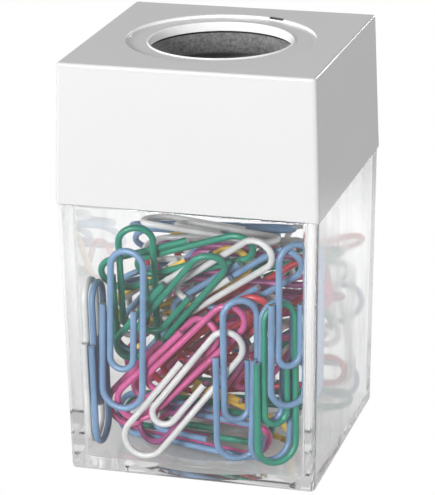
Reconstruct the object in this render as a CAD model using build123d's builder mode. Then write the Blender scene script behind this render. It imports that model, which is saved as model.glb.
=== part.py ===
from build123d import *

import os
import random

import numpy as np
from scipy.spatial import cKDTree

# Magnetic paper clip holder, in millimetres. The origin is the middle of the base, +Z is up and -Y is
# the front. A drafted clear box carries a white cap on its shoulder. A ring magnet sits in a well in the
# cap, under a bezel ring, and its bore is the mouth. The box holds vinyl-coated wire clips, each laid
# against what it meets.

# Clear box
box_base_width = 41.9
box_rim_width = 43.5
shoulder_height = 46.8
box_wall = 2.1
floor_thickness = 2.0
box_corner_radius = 0.8
cavity_corner_radius = 0.6
base_edge_radius = 0.6
neck_height = 4.0
shoulder_edge_radius = 0.3
recess_diameter = 31.0
recess_depth = 1.0

# Cap
cap_overhang = 0.25
cap_taper = 1.35
cap_height = 23.5
cap_wall = 1.2
cap_top_thickness = 1.6
cap_corner_radius = 0.7
cap_edge_radius = 0.45
cap_foot_radius = 0.25
neck_clearance = 0.12

# Mouth of the cap: bezel ring, magnet, and the well and tabs that hold them
bezel_diameter = 31.4
bezel_thickness = 1.35
bezel_drop = 0.5
bezel_clearance = 0.05
mouth_diameter = 23.8
mouth_lip_radius = 0.5
rim_edge_radius = 0.15
bezel_seat = 1.1
bezel_overhang = 0.3
magnet_height = 4.0
magnet_clearance = 0.1
magnet_chamfer = 0.25
well_wall = 1.4
tab_count = 3
tab_angle = 30.0
tab_width = 5.0
tab_reach = 1.7
tab_thickness = 1.2
gate_width = 2.8
gate_depth = 0.6
gate_drop = 0.25
gate_angle = 69.0

# Paper clip: a gem clip of round coated wire
clip_length = 29.0
clip_width = 8.0
wire_diameter = 1.1
leg_gap = 0.2
tongue_gap = 0.5
tongue_inset = 7.0
outer_tip = 18.8
tongue_tip = 18.1

# Load of clips
clip_limit = 56
pulled_limit = 50
front_fill_height = 42.0
back_fill_height = 34.0
clip_gap = 0.1
settle_margin = 0.05
point_spacing = 0.4
settle_rounds = 140
calm_rounds = 30
settle_pace = 0.35
slack = 0.03
loose_pulls = 120
pull_reach = 14.0
pull_low = 3.0
pull_high = 32.0
pull_lean_left = 40.0
pull_lean_right = 90.0
pull_turn = 60.0
pull_tip = 30.0
loose_drops = 60
tries_per_drop = 5
loose_tilt = 25.0
load_seed = 2

# Clips that lie towards the front, the foremost ones first: colour, place across and place up in
# millimetres, then in degrees the lean to the right, the turn about the clip's own length, the tip to the
# back, and the swing of the pull from the front towards the right-hand corner
front_clips = [
    ("blue", -11.8, 25.0, 2, 0, 0, 0),
    ("blue", 15.6, 27.4, 4, 52, 0, 50),
    ("green", 15.2, 17.0, -3, 12, 0, 0),
    ("blue", 12.6, 17.0, 1, 20, 0, 0),
    ("blue", 7.4, 17.4, 1, 14, 0, 0),
    ("white", -16.2, 17.6, 3, 66, 2, -60),
    ("white", -2.4, 14.3, 43, 0, 8, 0),
    ("blue", -15.4, 17.4, -3, 70, 0, -45),
    ("pink", -2.8, 19.4, 44, 0, 6, 0),
    ("pink", -7.4, 15.8, 45, 8, 6, 0),
    ("green", -4.4, 27.4, 32, 14, 6, 0),
    ("magenta", -2.6, 13.6, 42, 10, 10, 0),
    ("green", -10.6, 28.4, 4, 35, 4, 0),
    ("blue", -4.4, 4.2, 66, 0, 84, 0),
    ("pink", -3.6, 2.8, 82, 0, 88, 0),
    ("green", -4.0, 5.6, 78, 0, 84, 0),
    ("white", 2.4, 2.8, 60, 0, 88, 0),
    ("red", 0.4, 21.6, 42, 12, 8, 0),
    ("red", -3.0, 17.6, 43, 20, 8, 0),
    ("white", 1.4, 32.6, 55, 10, 8, 0),
    ("blue", 7.4, 31.4, 52, 20, 10, 0),
    ("green", -4.4, 34.6, 66, 40, 20, 0),
    ("yellow", -4.8, 29.6, 55, 25, 10, 0),
    ("magenta", 7.5, 34.0, 88, 60, 40, 0),
    ("yellow", 1.0, 7.0, 76, 20, 70, 0),
    ("pink", 7.5, 13.5, 30, 30, 10, 0),
    ("red", 6.0, 8.0, 66, 10, 80, 0),
    ("green", 6.0, 4.0, 80, 0, 86, 0),
    ("red", 6.0, 26.0, 50, 20, 12, 0),
    ("blue", -7.0, 26.0, 40, 20, 10, 0),
    ("white", -8.0, 28.0, 50, 30, 15, 0),
    ("white", 8.5, 12.0, 35, 35, 10, 0),
    ("pink", 10.0, 27.0, 70, 50, 30, 0),
]
colour_shares = {"blue": 6, "green": 6, "white": 4, "pink": 4, "red": 3, "yellow": 2, "magenta": 3}

# Sizes that follow from those above
total_height = shoulder_height + cap_height
cap_base_width = box_rim_width + 2 * cap_overhang
cap_top_width = cap_base_width - cap_taper
cap_slope = (cap_base_width - cap_top_width) / 2 / cap_height
neck_width = cap_base_width - 2 * (cap_wall + neck_height * cap_slope + neck_clearance)
cavity_slope = (box_rim_width - box_base_width) / 2 / shoulder_height
cavity_base_width = box_base_width - 2 * box_wall + 2 * floor_thickness * cavity_slope
cavity_rim_width = box_rim_width - 2 * box_wall
bezel_top = total_height - bezel_drop
magnet_top = bezel_top - bezel_thickness
magnet_bottom = magnet_top - magnet_height
tab_bottom = magnet_bottom - tab_thickness
well_diameter = bezel_diameter + 2 * well_wall
magnet_diameter = bezel_diameter - 2 * bezel_seat
magnet_bore = mouth_diameter + 2 * bezel_overhang
wire_radius = wire_diameter / 2
keep_off = wire_radius + clip_gap


def tapered_block(low_width, high_width, low, high, radius):
    """A square block with rounded upright corners, whose width changes evenly from low to high."""
    with BuildPart() as block:
        with BuildSketch(Plane.XY.offset(low)):
            RectangleRounded(low_width, low_width, radius)
        with BuildSketch(Plane.XY.offset(high)):
            RectangleRounded(high_width, high_width, radius)
        loft(ruled=True)
    return block.part


def disc(diameter, low, high):
    """A round block on the Z axis."""
    with BuildPart() as block:
        with BuildSketch(Plane.XY.offset(low)):
            Circle(diameter / 2)
        extrude(amount=high - low)
    return block.part


# Clear box
neck_top = shoulder_height + neck_height
with BuildPart() as clear_box:
    add(tapered_block(box_base_width, box_rim_width, 0, shoulder_height, box_corner_radius))
    fillet(clear_box.faces().sort_by(Axis.Z)[0].edges(), base_edge_radius)
    fillet(clear_box.faces().sort_by(Axis.Z)[-1].edges(), shoulder_edge_radius)
    add(tapered_block(neck_width, neck_width, shoulder_height, neck_top, box_corner_radius))
    add(
        tapered_block(
            cavity_base_width,
            cavity_rim_width,
            floor_thickness,
            shoulder_height,
            cavity_corner_radius,
        ),
        mode=Mode.SUBTRACT,
    )
    add(
        tapered_block(cavity_rim_width, cavity_rim_width, shoulder_height, neck_top, cavity_corner_radius),
        mode=Mode.SUBTRACT,
    )
    add(disc(recess_diameter, 0, recess_depth), mode=Mode.SUBTRACT)

# Cap: a drafted shell with a round well under its top, tabs under the magnet and a nick at the well's rim,
# where the moulding's gate was
with BuildPart() as cap:
    add(tapered_block(cap_base_width, cap_top_width, shoulder_height, total_height, cap_corner_radius))
    fillet(cap.faces().sort_by(Axis.Z)[-1].edges(), cap_edge_radius)
    fillet(cap.faces().sort_by(Axis.Z)[0].edges(), cap_foot_radius)
    cavity_height = cap_height - cap_top_thickness
    cavity_low_width = cap_base_width - 2 * cap_wall
    cavity_high_width = cavity_low_width - 2 * cavity_height * cap_slope
    add(
        tapered_block(
            cavity_low_width,
            cavity_high_width,
            shoulder_height,
            shoulder_height + cavity_height,
            cavity_corner_radius,
        ),
        mode=Mode.SUBTRACT,
    )
    add(disc(well_diameter, magnet_bottom, total_height - cap_top_thickness))
    tab_length = tab_reach + bezel_seat
    with BuildSketch(Plane.XY.offset(tab_bottom)):
        with PolarLocations(bezel_diameter / 2 - tab_length / 2, tab_count, tab_angle):
            Rectangle(tab_length, tab_width)
    extrude(amount=magnet_top - tab_bottom)
    add(disc(bezel_diameter, magnet_top, total_height), mode=Mode.SUBTRACT)
    fillet(cap.faces().sort_by(Axis.Z)[-1].inner_wires().edges(), rim_edge_radius)
    add(disc(magnet_diameter + 2 * magnet_clearance, magnet_bottom, magnet_top), mode=Mode.SUBTRACT)
    with BuildSketch(Plane.XY.offset(total_height).rotated((0, 0, gate_angle))):
        with Locations((bezel_diameter / 2, 0)):
            Rectangle(2 * gate_depth, gate_width)
    extrude(amount=-gate_drop, mode=Mode.SUBTRACT)

# Bezel ring: lies on the magnet and on the step of the well, with a rounded lip
with BuildPart() as bezel_ring:
    add(disc(bezel_diameter - 2 * bezel_clearance, magnet_top, bezel_top))
    add(disc(mouth_diameter, magnet_top, bezel_top), mode=Mode.SUBTRACT)
    fillet(bezel_ring.faces().sort_by(Axis.Z)[-1].inner_wires().edges(), mouth_lip_radius)

# Ring magnet
with BuildPart() as ring_magnet:
    add(disc(magnet_diameter, magnet_bottom, magnet_top))
    add(disc(magnet_bore, magnet_bottom, magnet_top), mode=Mode.SUBTRACT)
    chamfer(ring_magnet.edges().filter_by(GeomType.CIRCLE), magnet_chamfer)

# Paper clip, flat on the XY plane, with its big loop towards -Y
big_radius = (clip_width - wire_diameter) / 2
small_radius = big_radius - (wire_diameter + leg_gap) / 2
tongue_radius = small_radius - (wire_diameter + tongue_gap) / 2
clip_end = -clip_length / 2
big_centre = clip_end + wire_radius + big_radius
small_centre = -clip_end - wire_radius - small_radius
tongue_centre = clip_end + tongue_inset + wire_radius + tongue_radius
with BuildPart() as paper_clip:
    with BuildLine() as clip_path:
        outer_leg = Line((-big_radius, clip_end + outer_tip), (-big_radius, big_centre))
        big_loop = JernArc(outer_leg @ 1, outer_leg % 1, big_radius, 180)
        long_leg = Line(big_loop @ 1, (big_radius, small_centre))
        small_loop = JernArc(long_leg @ 1, long_leg % 1, small_radius, 180)
        inner_leg = Line(small_loop @ 1, ((small_loop @ 1).X, tongue_centre))
        tongue_loop = JernArc(inner_leg @ 1, inner_leg % 1, tongue_radius, 180)
        Line(tongue_loop @ 1, ((tongue_loop @ 1).X, clip_end + tongue_tip))
    with BuildSketch(Plane(outer_leg @ 0, z_dir=outer_leg % 0)):
        Circle(wire_radius)
    sweep()

# Points along the middle of the wire, which stand for a clip while the load is laid out
clip_wire = clip_path.wires()[0]
point_count = int(clip_wire.length / point_spacing) + 1
clip_points = np.array([tuple(clip_wire @ share) for share in np.linspace(0, 1, point_count)])


def turned(axis, degrees):
    """The matrix that turns points about an axis through the origin."""
    x, y, z = axis
    cross = np.array([[0, -z, y], [z, 0, -x], [-y, x, 0]])
    angle = np.radians(degrees)
    return np.eye(3) + np.sin(angle) * cross + (1 - np.cos(angle)) * cross @ cross


ACROSS, BACK, UP = np.eye(3)
STANDING = turned(ACROSS, 90)


def half_room(height):
    """Half the width that the middle of a wire has between the walls at a height."""
    height = np.minimum(height, shoulder_height)
    return cavity_base_width / 2 + (height - floor_thickness) * cavity_slope - keep_off


def held_inside(points):
    """The points, with any that are past the walls or the floor moved back to them."""
    side = half_room(points[:, 2])
    across = np.clip(points[:, 0], -side, side)
    back = np.clip(points[:, 1], -side, side)
    up = np.maximum(points[:, 2], floor_thickness + keep_off)
    return np.column_stack([across, back, up])


def best_fit(target, weight):
    """The turn and the place that bring the points of a clip nearest to the target points."""
    share = weight / weight.sum()
    middle = share @ clip_points
    target_middle = share @ target
    spread = (share[:, None] * (target - target_middle)).T @ (clip_points - middle)
    left, _, right = np.linalg.svd(spread)
    left[:, 2] *= np.sign(np.linalg.det(left @ right))
    turn = left @ right
    return turn, target_middle - turn @ middle


def points_of(pose):
    """The points of a clip at a pose, which is a turn and a place."""
    turn, place = pose
    return clip_points @ turn.T + place


class Load:
    """The clips laid so far. A new one moves along a pull, turned aside by what it meets, until it rests."""

    def __init__(self):
        self.clips = []
        far_above = (0, 0, 10 * total_height)
        self.wires = np.array([far_above])
        self.tree = cKDTree(self.wires)

    def room(self, points):
        """The least room to the clips laid so far, past the gap that is kept."""
        return self.tree.query(points)[0].min() - wire_diameter - clip_gap

    def is_clear(self, pose):
        """Whether a clip touches nothing."""
        points = points_of(pose)
        past_walls = np.abs(held_inside(points) - points).max()
        return self.room(points) > -clip_gap / 2 and past_walls < clip_gap / 2

    def run(self, pose, pull):
        """Moves a clip straight along the pull until it meets something."""
        turn, place = pose
        points = points_of(pose)
        travel = 0.0
        step = wire_diameter
        while step > clip_gap:
            moved = points + (travel + step) * pull
            room = self.room(moved)
            past_walls = np.abs(held_inside(moved) - moved).max()
            if room < 0 or past_walls > 3 * clip_gap:
                step /= 2
            else:
                travel += step
                step = np.clip(room, 2 * clip_gap, 4 * wire_diameter)
        return turn, place + travel * pull

    def settle(self, pose, pull):
        """Lets a clip go on along the pull, slower and slower, while whatever it meets turns it aside."""
        reach = wire_diameter + clip_gap + settle_margin
        for turn_count in range(settle_rounds):
            points = points_of(pose)
            pace = settle_pace * max(0, 1 - turn_count / (settle_rounds - calm_rounds))
            target = points + pace * pull
            weight = np.full(len(points), slack)
            distance, nearest = self.tree.query(points, distance_upper_bound=reach)
            met = np.isfinite(distance)
            other = self.wires[nearest[met]]
            target[met] = other + (points[met] - other) * (reach / distance[met])[:, None]
            held = held_inside(points)
            past = (held != points).any(axis=1)
            target[past] = held[past]
            weight[met | past] = 1
            pose = best_fit(target, weight)
        return pose

    def lay(self, colour, pose):
        """Keeps a clip where it came to rest."""
        self.clips.append((colour, pose))
        self.wires = np.vstack([points_of(pose) for _, pose in self.clips])
        self.tree = cKDTree(self.wires)


def into_room(values, side):
    """The move that brings values between the two sides."""
    return max(-side - values.min(), 0) + min(side - values.max(), 0)


def pulled_to_front(load, across, up, lean, turn, tip, swing):
    """Where a clip rests that stood at the back of the box and was pulled to the front, if it is clear."""
    stance = turned(ACROSS, -tip) @ turned(BACK, lean) @ STANDING @ turned(BACK, turn)
    points = clip_points @ stance.T
    side = half_room(up) - 2 * clip_gap
    floor = floor_thickness + keep_off
    place = np.array([across, side - points[:, 1].max(), up])
    place[0] += into_room(points[:, 0] + across, side)
    place[2] += max(floor - points[:, 2].min() - up, 0)
    stopped = load.run((stance, place), -BACK)
    settled = load.settle(stopped, turned(UP, swing) @ -BACK)
    for pose in (settled, stopped):
        if load.is_clear(pose):
            return pose
    return None


def is_under_fill(points):
    """Whether a clip is under the top of the load, which falls from the front to the back."""
    share = points[:, 1] / cavity_rim_width + 0.5
    return (points[:, 2] < front_fill_height + share * (back_fill_height - front_fill_height)).all()


def any_colour(dice):
    """A colour by its share of the load."""
    return dice.choices(list(colour_shares), colour_shares.values())[0]


def pull_loose_clip(load, dice):
    """Pulls a clip of any stance to the front, and lays it if it rests under the top of the load."""
    colour = any_colour(dice)
    across = dice.uniform(-pull_reach, pull_reach)
    up = dice.uniform(pull_low, pull_high)
    lean = dice.uniform(-pull_lean_left, pull_lean_right)
    turn = dice.uniform(0, pull_turn)
    tip = dice.uniform(0, pull_tip)
    pose = pulled_to_front(load, across, up, lean, turn, tip, 0)
    if pose and is_under_fill(points_of(pose)):
        load.lay(colour, pose)


def drop_loose_clip(load, dice):
    """Drops a clip into the box several times, and lays it at the lowest rest."""
    colour = any_colour(dice)
    rests = []
    side = half_room(floor_thickness)
    for _ in range(tries_per_drop):
        tilt = turned(ACROSS, dice.gauss(0, loose_tilt)) @ turned(BACK, dice.gauss(0, loose_tilt))
        stance = turned(UP, dice.uniform(0, 360)) @ tilt
        points = clip_points @ stance.T
        low, high = points.min(axis=0), points.max(axis=0)
        across = dice.uniform(-side - low[0], side - high[0])
        back = dice.uniform(-side - low[1], side - high[1])
        above = np.array([across, back, shoulder_height - low[2]])
        pose = load.settle(load.run((stance, above), -UP), -UP)
        if is_under_fill(points_of(pose)) and load.is_clear(pose):
            rests.append(pose)
    if rests:
        load.lay(colour, min(rests, key=lambda pose: pose[1][2]))


load = Load()
for colour, *stance in front_clips:
    pose = pulled_to_front(load, *stance)
    if pose:
        load.lay(colour, pose)
dice = random.Random(load_seed)
for _ in range(loose_pulls):
    if len(load.clips) < pulled_limit:
        pull_loose_clip(load, dice)
for _ in range(loose_drops):
    if len(load.clips) < clip_limit:
        drop_loose_clip(load, dice)

# Each piece goes to its own file
holder = {"clear_box": clear_box, "cap": cap, "bezel_ring": bezel_ring, "ring_magnet": ring_magnet}
os.makedirs("parts", exist_ok=True)
for name, piece in holder.items():
    piece.part.label = name
    export_step(piece.part, f"parts/{name}.step")
for number, (colour, (turn, place)) in enumerate(load.clips, 1):
    with BuildPart() as clip:
        with Locations(Plane(tuple(place), x_dir=tuple(turn @ ACROSS), z_dir=tuple(turn @ UP))):
            add(paper_clip.part)
    clip.part.label = f"clip_{number:02d}_{colour}"
    export_step(clip.part, f"parts/{clip.part.label}.step")
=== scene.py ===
"""Looks of a magnetic paper clip holder: a clear box of vinyl-coated clips under a white cap.

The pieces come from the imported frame. This script gives each one its material, adds a thin lip round the
mouth, and sets up the floor, the lights and the camera. Lengths are in metres and angles in degrees, unless a
name says otherwise.
"""

import math

import bpy
import numpy as np
from mathutils import Matrix, Vector


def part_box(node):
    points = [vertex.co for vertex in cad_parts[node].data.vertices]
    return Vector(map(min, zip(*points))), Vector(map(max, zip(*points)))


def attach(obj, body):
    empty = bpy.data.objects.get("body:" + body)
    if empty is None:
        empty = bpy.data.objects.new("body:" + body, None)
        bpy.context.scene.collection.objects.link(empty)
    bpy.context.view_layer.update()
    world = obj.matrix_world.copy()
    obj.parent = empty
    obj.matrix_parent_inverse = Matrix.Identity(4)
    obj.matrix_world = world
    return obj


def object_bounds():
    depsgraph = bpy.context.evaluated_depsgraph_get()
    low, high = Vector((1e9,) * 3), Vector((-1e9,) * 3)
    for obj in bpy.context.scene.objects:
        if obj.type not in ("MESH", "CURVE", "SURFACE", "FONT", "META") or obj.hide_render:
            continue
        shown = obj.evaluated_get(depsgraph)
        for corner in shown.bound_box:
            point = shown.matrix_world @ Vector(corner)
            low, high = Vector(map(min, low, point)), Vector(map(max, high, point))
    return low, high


# Camera: where it looks from, how far off it is, and how far the picture's middle lies from the origin
CAMERA_AZIMUTH = 16.114
CAMERA_ELEVATION = 18.976
CAMERA_ROLL = -0.735
CAMERA_DISTANCE = 0.45155
CAMERA_ACROSS = -0.001397
CAMERA_UP = 0.031992
CAMERA_LENS_MM = 189.71
CAMERA_NEAR = 0.01
SENSOR_MM = 36.0

# Stage: the planes under the box, and the sky as it lights and as it shows in gloss
FLOOR_SIZE = 6.0
FLOOR_DROP = 0.0002
FLOOR_GLOW = 1.11
BACKDROP_GLOW = 1.0
GROUND_GREY = 0.35
SKY_GLOW = 0.12
SKY_SHINE = 0.58

# The share of their glow that the floor and the sheen have in front of the box, and where in y it changes
FRONT_SHARE = 0.59
FRONT_FADE = (-0.05, 0.0)

# The shares of its light that a plane keeps, at several distances from the middle of the box
BOX_SHADE = ((0.006, 0.12), (0.026, 0.74), (0.110, 1.0))
SHEEN_SHADE = (*BOX_SHADE, (0.125, 1.0), (0.165, 0.4))
NO_SHADE = ((0.0, 1.0), (1.0, 1.0))

# Soft square lights: azimuth (0 is in front, 90 to the right), elevation, distance, size and watts
LIGHTS = {
    "key": (-10.0, 13.0, 0.9, 0.25, 7.5),
    "left": (-80.0, 22.0, 1.0, 0.3, 4.6),
    "fill": (80.0, 20.0, 0.9, 0.6, 3.1),
    "back": (170.0, 14.0, 0.9, 0.6, 3.6),
    "edge": (160.0, 15.0, 0.9, 0.1, 0.55),
}

# The lights that show as highlights. The others only brighten, so that they don't blot out the cap's top
SHINING_LIGHTS = ("key", "edge")

# Raised lip round the mouth: how far it stands over its ring and reaches down the wall, its section, and how
# finely it is turned
MOUTH_RADIUS = 0.0119
LIP_RISE = 0.0002
LIP_DEPTH = 0.0006
LIP_WIDTH = 0.00034
LIP_PROUD = 0.00003
LIP_ROUND = 0.00015
LIP_STEPS = 6
LIP_SEGMENTS = 180
LIP_SHARP_ANGLE = 40.0

# Light runs along inside the clear walls and turns back up to this many times on its way
WALL_BOUNCES = 40

# White plastic: its tones, how far apart its clouds lie, how far they shift the tone, and its gloss
CAP_WHITE = 0.72
# Painted light: the rim round the mouth and the lip are whiter than the cap, to stand in for light falling on
# them
RIM_PAINTED_LIGHT_WHITE = 0.96
# Painted shade: the faces inside the cap are darker than the cap, to stand in for the shade in it
INSIDE_PAINTED_SHADE_WHITE = 0.3
WHITE_CLOUD = 0.04
WHITE_SHIFT = 0.01
WHITE_ROUGHNESS = (0.13, 0.16)
WHITE_IOR = 1.46

# Painted shade in the nick: its grey, how far apart its grains lie, and their tones as shares of that grey
NICK_SHADE_GREY = 0.08
NICK_GRAIN = 0.0004
NICK_SHARES = (0.7, 1.5)
NICK_ROUGHNESS = 0.7

# Clear plastic: roughness of clear and hazy walls where they are scuffed, and the share of it elsewhere; the
# upright scuffs, with the range of noise in which they set in; and the slight waves of its faces
CLEAR_IOR = 1.53
CLEAR_TINT = (0.985, 0.99, 0.99)
CLEAR_ROUGHNESS = 0.03
HAZY_ROUGHNESS = 0.25
SMOOTH_SHARE = 0.25
HAZE = 0.12
SCUFF_SPACING = 0.006
SCUFF_STRETCH = (1, 1, 0.3)
SCUFF_RANGE = (0.45, 0.75)
WAVE_SPACING = 0.014
WAVE_HEIGHT = 0.00002

# Ferrite: its mottle, with the range of noise that it spans, and its pits
FERRITE_DARK = 0.13
FERRITE_PALE = 0.31
FERRITE_GRAIN = 0.0005
FERRITE_RANGE = (0.3, 0.72)
FERRITE_ROUGHNESS = (0.45, 0.7)
PIT_SPACING = 0.0007
PIT_HEIGHT = 0.00006

# Painted shade: a dark band at the top of the magnet, standing in for the shade in the joint under the bezel
# ring
JOINT_SHADE_BLACK = 0.01
JOINT_SHADE_DEPTH = 0.00035
JOINT_SHADE_FADE = 0.0001

# Bare steel of the cut wire ends, and the fewest triangles that such an end is made of
STEEL_GREY = 0.55
STEEL_DARK_SHARE = 0.7
STEEL_SCRATCH = 0.0003
STEEL_STRETCH = (1, 6, 1)
STEEL_ROUGHNESS = (0.3, 0.5)
END_TRIANGLES = 30

# Vinyl coat: its clouds and their tones as shares of the colour, the patches of its gloss, and its grain
VINYL_CLOUD = 0.005
VINYL_SHARES = (0.9, 1.08)
VINYL_PATCH = 0.0015
VINYL_ROUGHNESS = (0.32, 0.46)
VINYL_GRAIN = 0.0009
VINYL_GRAIN_HEIGHT = 0.00002
VINYL_IOR = 1.5
VINYL_COLOURS = {
    "blue": (0.165, 0.285, 0.460),
    "green": (0.018, 0.240, 0.158),
    "white": (0.680, 0.680, 0.680),
    "pink": (0.600, 0.100, 0.290),
    "red": (0.560, 0.050, 0.068),
    "yellow": (0.760, 0.510, 0.078),
    "magenta": (0.280, 0.058, 0.190),
}

# Where the faces lie that get a finish of their own: heights, and distances from the axis or the middle
MM_PER_METRE = 1000
RIM_REACH_MM = 16.2
RIM_FOOT_MM = 68.0
INSIDE_TOP_MM = 69.0
INSIDE_REACH_MM = 20.8
WALL_OUT_MM = 20.5
WALL_TOP_MM = 46.8
NICK_AWAY_MM = (15.67, 16.6)
NICK_HEIGHT_MM = (69.6, 70.28)
NICK_ANGLE = 69.0
NICK_HALF_ANGLE = 6.0

# How far such faces may lean: the most upward part of an upright normal, the sideways part of a side wall's
# normal, and the upward part of a normal that points down
UPRIGHT = 0.8
SIDEWAYS = 0.98
DOWNWARD = -0.5


class Finish:
    """A material under construction: a Principled shader and the nodes that feed it."""

    def __init__(self, name):
        self.material = bpy.data.materials.new(name)
        self.material.use_nodes = True
        self.nodes = self.material.node_tree.nodes
        self.links = self.material.node_tree.links
        self.shader = self.nodes["Principled BSDF"]
        self.place = self.nodes.new("ShaderNodeTexCoord").outputs["Object"]

    def set(self, **values):
        """Sets sockets of the shader, with an underscore for each space in a socket's name."""
        for name, value in values.items():
            self.shader.inputs[name.replace("_", " ")].default_value = value

    def noise(self, spacing, detail=3.0, stretch=None):
        """Noise whose features are about this far apart, stretched along the axes if asked."""
        texture = self.nodes.new("ShaderNodeTexNoise")
        texture.inputs["Scale"].default_value = 1 / spacing
        texture.inputs["Detail"].default_value = detail
        place = self.place
        if stretch:
            mapping = self.nodes.new("ShaderNodeMapping")
            mapping.inputs["Scale"].default_value = stretch
            self.links.new(place, mapping.inputs["Vector"])
            place = mapping.outputs["Vector"]
        self.links.new(place, texture.inputs["Vector"])
        return texture.outputs["Fac"]

    def ramp(self, source, low, high, start=0.35, end=0.65):
        """A colour that goes from low to high while the source goes from start to end."""
        return self.stops(source, ((start, low), (end, high)))

    def stops(self, source, colours):
        """A colour that follows the source through these positions and colours."""
        ramp = self.nodes.new("ShaderNodeValToRGB")
        elements = ramp.color_ramp.elements
        while len(elements) < len(colours):
            elements.new(0.5)
        for element, (position, colour) in zip(elements, colours):
            element.position = position
            element.color = (*colour, 1)
        self.links.new(source, ramp.inputs["Fac"])
        return ramp.outputs["Color"]

    def spread(self, source, low, high, start=0.3, end=0.7):
        """A value that goes from low to high while the source goes from start to end."""
        spread = self.nodes.new("ShaderNodeMapRange")
        for name, value in (("From Min", start), ("From Max", end), ("To Min", low), ("To Max", high)):
            spread.inputs[name].default_value = value
        self.links.new(source, spread.inputs["Value"])
        return spread.outputs["Result"]

    def distance(self):
        """How far a point is from the piece's origin."""
        length = self.nodes.new("ShaderNodeVectorMath")
        length.operation = "LENGTH"
        self.links.new(self.place, length.inputs[0])
        return length.outputs["Value"]

    def along(self, axis):
        """How far a point is from the piece's origin along an axis, X, Y or Z."""
        split = self.nodes.new("ShaderNodeSeparateXYZ")
        self.links.new(self.place, split.inputs["Vector"])
        return split.outputs[axis]

    def product(self, first, second):
        """Two values multiplied."""
        product = self.nodes.new("ShaderNodeMath")
        product.operation = "MULTIPLY"
        self.links.new(first, product.inputs[0])
        self.links.new(second, product.inputs[1])
        return product.outputs["Value"]

    def feed(self, name, source):
        """Links a source to a socket of the shader."""
        self.links.new(source, self.shader.inputs[name])

    def bump(self, source, height):
        """Raises the surface by up to this height where the source is high."""
        bump = self.nodes.new("ShaderNodeBump")
        bump.inputs["Distance"].default_value = height
        bump.inputs["Strength"].default_value = 1.0
        self.links.new(source, bump.inputs["Height"])
        self.feed("Normal", bump.outputs["Normal"])


def grey(value):
    """A neutral colour."""
    return (value, value, value)


def scaled(colour, share):
    """A colour made darker or lighter, up to full white."""
    return tuple(min(1.0, channel * share) for channel in colour)


def white_plastic(name, white):
    """Glossy white moulding, a little uneven in gloss and tone."""
    finish = Finish(name)
    cloud = finish.noise(WHITE_CLOUD, detail=1.0)
    dark, pale = grey(white * (1 - WHITE_SHIFT)), grey(white * (1 + WHITE_SHIFT))
    finish.feed("Base Color", finish.ramp(cloud, dark, pale))
    finish.feed("Roughness", finish.spread(cloud, *WHITE_ROUGHNESS))
    finish.set(IOR=WHITE_IOR)
    return finish.material


def nick_shade():
    """Painted shade for the nick: a dark, rough grey on its faces."""
    finish = Finish("nick_shade")
    grain = finish.noise(NICK_GRAIN)
    dark, pale = (grey(NICK_SHADE_GREY * share) for share in NICK_SHARES)
    finish.feed("Base Color", finish.ramp(grain, dark, pale))
    finish.set(Roughness=NICK_ROUGHNESS)
    return finish.material


def clear_plastic(name, rough, haze):
    """Clear moulding with thick walls: its roughness where it is scuffed, and how milky it is."""
    finish = Finish(name)
    finish.set(IOR=CLEAR_IOR, Transmission_Weight=1 - haze, Base_Color=(*CLEAR_TINT, 1))
    scuff = finish.noise(SCUFF_SPACING, stretch=SCUFF_STRETCH)
    finish.feed("Roughness", finish.spread(scuff, rough * SMOOTH_SHARE, rough, *SCUFF_RANGE))
    finish.bump(finish.noise(WAVE_SPACING, detail=1.0), WAVE_HEIGHT)
    return finish.material


def ferrite():
    """Dark grey pressed ferrite, mottled and dull, with a band of painted shade at its top, under the bezel
    ring.
    """
    finish = Finish("pressed_ferrite")
    grain = finish.noise(FERRITE_GRAIN, detail=6.0)
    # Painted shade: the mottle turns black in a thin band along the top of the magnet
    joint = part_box("ring_magnet")[1].z - JOINT_SHADE_DEPTH
    below_joint = finish.spread(finish.along("Z"), 1.0, 0.0, joint - JOINT_SHADE_FADE, joint)
    positions = (0.0, *FERRITE_RANGE)
    greys = (grey(JOINT_SHADE_BLACK), grey(FERRITE_DARK), grey(FERRITE_PALE))
    mottle_and_shade = finish.stops(finish.product(grain, below_joint), tuple(zip(positions, greys)))
    finish.feed("Base Color", mottle_and_shade)
    finish.feed("Roughness", finish.spread(grain, *FERRITE_ROUGHNESS))
    finish.bump(finish.noise(PIT_SPACING, detail=4.0), PIT_HEIGHT)
    return finish.material


def vinyl(colour_name):
    """Coloured vinyl coat on wire: soft gloss, and a little thinner or thicker in places."""
    colour = VINYL_COLOURS[colour_name]
    finish = Finish(f"vinyl_coat_{colour_name}")
    cloud = finish.noise(VINYL_CLOUD)
    dark, pale = (scaled(colour, share) for share in VINYL_SHARES)
    finish.feed("Base Color", finish.ramp(cloud, dark, pale))
    finish.feed("Roughness", finish.spread(finish.noise(VINYL_PATCH), *VINYL_ROUGHNESS))
    finish.bump(finish.noise(VINYL_GRAIN, detail=2.0), VINYL_GRAIN_HEIGHT)
    finish.set(IOR=VINYL_IOR)
    return finish.material


def cut_steel():
    """Bare steel of the cut wire ends."""
    finish = Finish("cut_steel")
    scratch = finish.noise(STEEL_SCRATCH, detail=2.0, stretch=STEEL_STRETCH)
    finish.feed("Base Color", finish.ramp(scratch, grey(STEEL_GREY * STEEL_DARK_SHARE), grey(STEEL_GREY)))
    finish.feed("Roughness", finish.spread(scratch, *STEEL_ROUGHNESS))
    finish.set(Metallic=1.0)
    return finish.material


def lip_section():
    """Half section of the lip: distances from the axis and heights over the ring, from the inner foot on."""
    inner = MOUTH_RADIUS - LIP_PROUD
    outer = inner + LIP_WIDTH
    section = [(inner, -LIP_DEPTH)]
    for start, middle in ((180, inner + LIP_ROUND), (90, outer - LIP_ROUND)):
        for step in range(LIP_STEPS + 1):
            turn = math.radians(start - 90 * step / LIP_STEPS)
            away = middle + LIP_ROUND * math.cos(turn)
            section.append((away, LIP_RISE - LIP_ROUND + LIP_ROUND * math.sin(turn)))
    section.append((outer, -LIP_DEPTH))
    return section


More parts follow.
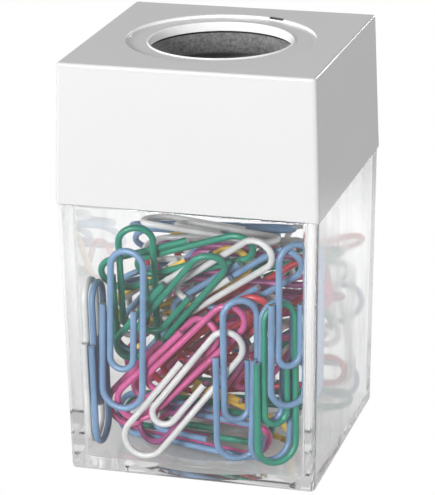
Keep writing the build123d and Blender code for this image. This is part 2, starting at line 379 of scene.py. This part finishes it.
def mouth_lip(material):
    """The raised lip, turned from its section, with its foot inside the ring."""
    ring_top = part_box("bezel_ring")[1].z
    section = lip_section()
    count = len(section)
    corners = []
    for segment in range(LIP_SEGMENTS):
        turn = 2 * math.pi * segment / LIP_SEGMENTS
        corners += [(away * math.cos(turn), away * math.sin(turn), ring_top + up) for away, up in section]
    faces = []
    for segment in range(LIP_SEGMENTS):
        here, there = segment * count, (segment + 1) % LIP_SEGMENTS * count
        for point in range(count):
            follower = (point + 1) % count
            faces.append((here + point, here + follower, there + follower, there + point))
    mesh = bpy.data.meshes.new("mouth_lip")
    mesh.from_pydata(corners, [], faces)
    mesh.shade_smooth()
    mesh.set_sharp_from_angle(angle=math.radians(LIP_SHARP_ANGLE))
    mesh.materials.append(material)
    lip = bpy.data.objects.new("mouth_lip", mesh)
    bpy.context.scene.collection.objects.link(lip)
    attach(lip, "cap")


def dress(node, *materials):
    """Gives a piece of the frame its materials, the main one first."""
    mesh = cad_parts[node].data
    mesh.materials.clear()
    for material in materials:
        mesh.materials.append(material)


def finish_faces(node, slot, wanted):
    """Gives the material of a slot to the faces wanted, by their middle in millimetres and their normal."""
    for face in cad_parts[node].data.polygons:
        if wanted(face.center * MM_PER_METRE, face.normal):
            face.material_index = slot


def finish_wire_ends(node, slot):
    """Gives the two cut ends of a clip the material of a slot. They are its only large flat faces."""
    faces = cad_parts[node].data.polygons
    normals = np.empty(3 * len(faces))
    faces.foreach_get("normal", normals)
    normals = normals.reshape(-1, 3).round(3)
    _, group, counts = np.unique(normals, axis=0, return_inverse=True, return_counts=True)
    slots = np.where(counts[group.ravel()] >= END_TRIANGLES, slot, 0)
    faces.foreach_set("material_index", slots.astype(np.int32))


def is_round_mouth(middle, normal):
    """True for the upright faces that stand round the mouth or round the ring."""
    return abs(normal.z) < UPRIGHT and middle.xy.length < RIM_REACH_MM and middle.z > RIM_FOOT_MM


def is_inside_cap(middle, normal):
    """True for the faces under the top of the cap, apart from its outside and its well."""
    across = max(abs(middle.x), abs(middle.y))
    turned_in = normal.z < DOWNWARD or middle.xy.dot(normal.xy) < 0
    return middle.z < INSIDE_TOP_MM and across < INSIDE_REACH_MM and turned_in


def is_side_wall(middle, normal):
    """True for the outer faces of the box's left and right walls."""
    return abs(normal.x) > SIDEWAYS and abs(middle.x) > WALL_OUT_MM and middle.z < WALL_TOP_MM


def is_in_nick(middle, normal):
    """True for the faces of the nick in the rim of the well."""
    turn = math.degrees(math.atan2(middle.y, middle.x)) - NICK_ANGLE
    nearest, farthest = NICK_AWAY_MM
    lowest, highest = NICK_HEIGHT_MM
    in_ring = nearest < middle.xy.length < farthest and lowest < middle.z < highest
    return in_ring and abs(turn) < NICK_HALF_ANGLE


def place_camera():
    """The photograph's camera, from its angles, its distance and the picture's middle."""
    azimuth, elevation, roll = (math.radians(a) for a in (CAMERA_AZIMUTH, CAMERA_ELEVATION, CAMERA_ROLL))
    ahead = Vector((-math.sin(azimuth), math.cos(azimuth), -math.tan(elevation))).normalized()
    right = ahead.cross(Vector((0, 0, 1))).normalized()
    up = right.cross(ahead)
    right, up = (
        math.cos(roll) * right + math.sin(roll) * up,
        math.cos(roll) * up - math.sin(roll) * right,
    )
    place = right * CAMERA_ACROSS + up * CAMERA_UP - ahead * CAMERA_DISTANCE
    data = bpy.data.cameras.new("camera")
    data.lens = CAMERA_LENS_MM
    data.sensor_width = SENSOR_MM
    data.clip_start = CAMERA_NEAR
    camera = bpy.data.objects.new("camera", data)
    axes = Matrix((right, up, -ahead)).transposed()
    camera.matrix_world = Matrix.Translation(place) @ axes.to_4x4()
    bpy.context.scene.collection.objects.link(camera)
    bpy.context.scene.camera = camera


def area_light(name, aim, azimuth, elevation, distance, size, watts):
    """A square soft light, turned to its aim.

    It doesn't show through clear pieces, and shows in gloss only if it is one of the shining lights.
    """
    azimuth, elevation = math.radians(azimuth), math.radians(elevation)
    outward = Vector((math.sin(azimuth), -math.cos(azimuth), math.tan(elevation))).normalized()
    data = bpy.data.lights.new(name, "AREA")
    data.size = size
    data.energy = watts
    light = bpy.data.objects.new(name, data)
    light.location = aim + distance * outward
    light.rotation_euler = outward.to_track_quat("Z", "Y").to_euler()
    light.visible_transmission = False
    light.visible_glossy = name in SHINING_LIGHTS
    bpy.context.scene.collection.objects.link(light)


def plane(name, white, glow, front, shade, seen_by):
    """A matt square a hair below the box, for the kinds of ray that see it.

    It has a white, a glow behind the middle of the box and one in front of it, and the shares of these that
    it keeps at several distances from that middle.
    """
    half = FLOOR_SIZE / 2
    mesh = bpy.data.meshes.new(name)
    corners = [(-half, -half, 0), (half, -half, 0), (half, half, 0), (-half, half, 0)]
    mesh.from_pydata(corners, [], [(0, 1, 2, 3)])
    finish = Finish(name)
    away = finish.distance()
    for socket, tone in (("Base Color", white), ("Emission Color", 1.0)):
        shades = [(distance, grey(share * tone)) for distance, share in shade]
        finish.feed(socket, finish.stops(away, shades))
    finish.feed("Emission Strength", finish.spread(finish.along("Y"), front, glow, *FRONT_FADE))
    finish.set(Roughness=0.9, Specular_IOR_Level=0.0)
    mesh.materials.append(finish.material)
    square = bpy.data.objects.new(name, mesh)
    square.location.z = -FLOOR_DROP
    square.visible_shadow = False
    for ray in ("camera", "diffuse", "glossy", "transmission"):
        setattr(square, f"visible_{ray}", ray in seen_by)
    bpy.context.scene.collection.objects.link(square)


def set_stage(middle):
    """Backdrop for the camera, floor for clear walls, sheen for gloss, ground for soft light, sky, lamps."""
    plane("backdrop", 0.0, BACKDROP_GLOW, BACKDROP_GLOW, NO_SHADE, ("camera",))
    plane("floor", 0.0, FLOOR_GLOW, FLOOR_GLOW * FRONT_SHARE, BOX_SHADE, ("transmission",))
    plane("sheen", 0.0, FLOOR_GLOW, FLOOR_GLOW * FRONT_SHARE, SHEEN_SHADE, ("glossy",))
    plane("ground", GROUND_GREY, 0.0, 0.0, BOX_SHADE, ("diffuse",))

    # The sky is dim, but shows bright in gloss, as white walls round the table would
    sky = bpy.data.worlds.new("sky")
    sky.use_nodes = True
    nodes, links = sky.node_tree.nodes, sky.node_tree.links
    nodes["Background"].inputs["Color"].default_value = (1, 1, 1, 1)
    shine = nodes.new("ShaderNodeMapRange")
    shine.inputs["To Min"].default_value = SKY_GLOW
    shine.inputs["To Max"].default_value = SKY_SHINE
    links.new(nodes.new("ShaderNodeLightPath").outputs["Is Glossy Ray"], shine.inputs["Value"])
    links.new(shine.outputs["Result"], nodes["Background"].inputs["Strength"])
    bpy.context.scene.world = sky

    for name, values in LIGHTS.items():
        area_light(name, middle, *values)
    cycles = bpy.context.scene.cycles
    cycles.max_bounces = WALL_BOUNCES
    cycles.glossy_bounces = WALL_BOUNCES
    cycles.transmission_bounces = WALL_BOUNCES
    bpy.context.scene.view_settings.view_transform = "Standard"


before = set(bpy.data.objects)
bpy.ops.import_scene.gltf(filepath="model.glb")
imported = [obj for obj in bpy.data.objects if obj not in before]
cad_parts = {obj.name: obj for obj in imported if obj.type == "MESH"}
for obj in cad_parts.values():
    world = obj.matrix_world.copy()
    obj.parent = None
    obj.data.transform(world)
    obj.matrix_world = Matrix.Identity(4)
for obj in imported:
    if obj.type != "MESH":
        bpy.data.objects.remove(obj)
cad_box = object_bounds()

cap_finish = white_plastic("white_moulding", CAP_WHITE)
# A whiter copy of the white, painted light, for the upright faces round the mouth and for the lip
rim_painted_light_finish = white_plastic("white_rim_painted_light", RIM_PAINTED_LIGHT_WHITE)
dress("cap", cap_finish, rim_painted_light_finish, nick_shade(), white_plastic("painted_shade_inside", INSIDE_PAINTED_SHADE_WHITE))
dress("bezel_ring", cap_finish, rim_painted_light_finish)
# The upright faces round the mouth, on the cap and on the ring, take the whiter copy: painted light
finish_faces("cap", 1, is_round_mouth)
# The faces of the nick take a near-black grey: painted shade
finish_faces("cap", 2, is_in_nick)
# The faces inside the cap take a darker copy of the white: painted shade
finish_faces("cap", 3, is_inside_cap)
finish_faces("bezel_ring", 1, is_round_mouth)
mouth_lip(rim_painted_light_finish)
clear_walls = clear_plastic("clear_moulding", CLEAR_ROUGHNESS, 0.0)
hazy_walls = clear_plastic("hazy_moulding", HAZY_ROUGHNESS, HAZE)
dress("clear_box", clear_walls, hazy_walls)
finish_faces("clear_box", 1, is_side_wall)
dress("ring_magnet", ferrite())
vinyls = {name: vinyl(name) for name in VINYL_COLOURS}
bare_steel = cut_steel()
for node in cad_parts:
    if node.startswith("clip_"):
        dress(node, vinyls[node.rsplit("_", 1)[1]], bare_steel)
        finish_wire_ends(node, 1)

# The clear box lets lamps and scattered light straight through
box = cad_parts["clear_box"]
box.visible_shadow = False
box.visible_diffuse = False

place_camera()
low, high = (Vector(corner) for corner in cad_box)
set_stage((low + high) / 2)
